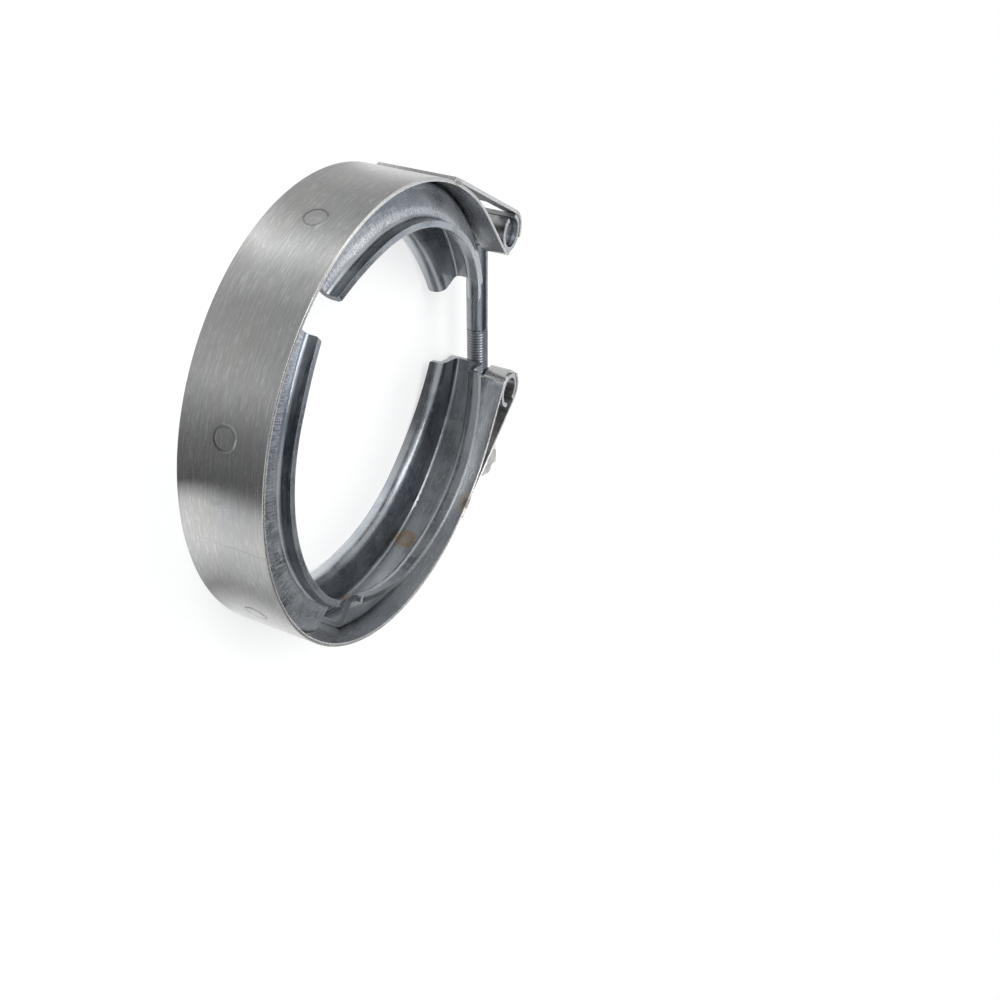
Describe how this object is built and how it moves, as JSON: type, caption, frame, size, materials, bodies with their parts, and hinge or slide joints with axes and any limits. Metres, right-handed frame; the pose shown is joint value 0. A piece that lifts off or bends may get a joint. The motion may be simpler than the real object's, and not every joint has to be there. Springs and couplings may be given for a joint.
{
  "type": "v band clamp",
  "caption": "Round V-band clamp for a flanged exhaust joint: a bent steel band with V-section segments, closed by a T-bolt and lock nut.",
  "frame": {"origin": "on the ring axis, in the middle plane of the V groove", "axes": "+Z along the ring axis, +X from the ring axis towards the bolt, +Y along the bolt towards its T-head"},
  "size_m": [0.1262, 0.119, 0.022],
  "materials": {
    "band_steel": "brushed along the band",
    "segment_steel": "pressed sheet with forming marks",
    "sleeve_steel": "rolled sheet",
    "bolt_steel": "drawn bar with a rolled thread",
    "nut_steel": "satin"
  },
  "bodies": {
    "left_side": {"outer_band": "band_steel", "v_segment_left": "segment_steel"},
    "upper_arm": {"v_segment_upper": "segment_steel"},
    "lower_arm": {"v_segment_lower": "segment_steel"},
    "bolt": {"t_bolt": "bolt_steel", "bolt_sleeve": "sleeve_steel"},
    "nut_trunnion": {"nut_sleeve": "sleeve_steel"},
    "nut": {"lock_nut": "nut_steel"}
  },
  "joints": [
    {"name": "upper_arm_closing", "type": "hinge", "parent": "left_side", "child": "upper_arm", "pos_m": [-0.03313, 0.04821, 0], "axis": [0, 0, -1], "range_deg": [0, 2.5], "stiffness_Nm_per_rad": 6, "deforming": ["outer_band"]},
    {"name": "lower_arm_closing", "type": "hinge", "parent": "left_side", "child": "lower_arm", "pos_m": [-0.03313, -0.04821, 0], "axis": [0, 0, 1], "range_deg": [0, 2.5], "stiffness_Nm_per_rad": 6, "deforming": ["outer_band"]},
    {"name": "bolt_swing", "type": "hinge", "parent": "upper_arm", "child": "bolt", "pos_m": [0.061, 0.0255, 0], "axis": [0, 0, 1], "range_deg": [0, 2.5]},
    {"name": "nut_sleeve_turn", "type": "hinge", "parent": "lower_arm", "child": "nut_trunnion", "pos_m": [0.061, -0.0255, 0], "axis": [0, 0, -1], "range_deg": [0, 2.5]},
    {"name": "nut_travel", "type": "slide", "parent": "bolt", "child": "nut", "axis": [0, 1, 0], "range_m": [-0.002, 0.017]}
  ],
  "couplings": [
    {"joint": "lower_arm_closing", "follows": "upper_arm_closing", "ratio": 1},
    {"joint": "bolt_swing", "follows": "upper_arm_closing", "ratio": 1},
    {"joint": "nut_sleeve_turn", "follows": "upper_arm_closing", "ratio": 1}
  ]
}
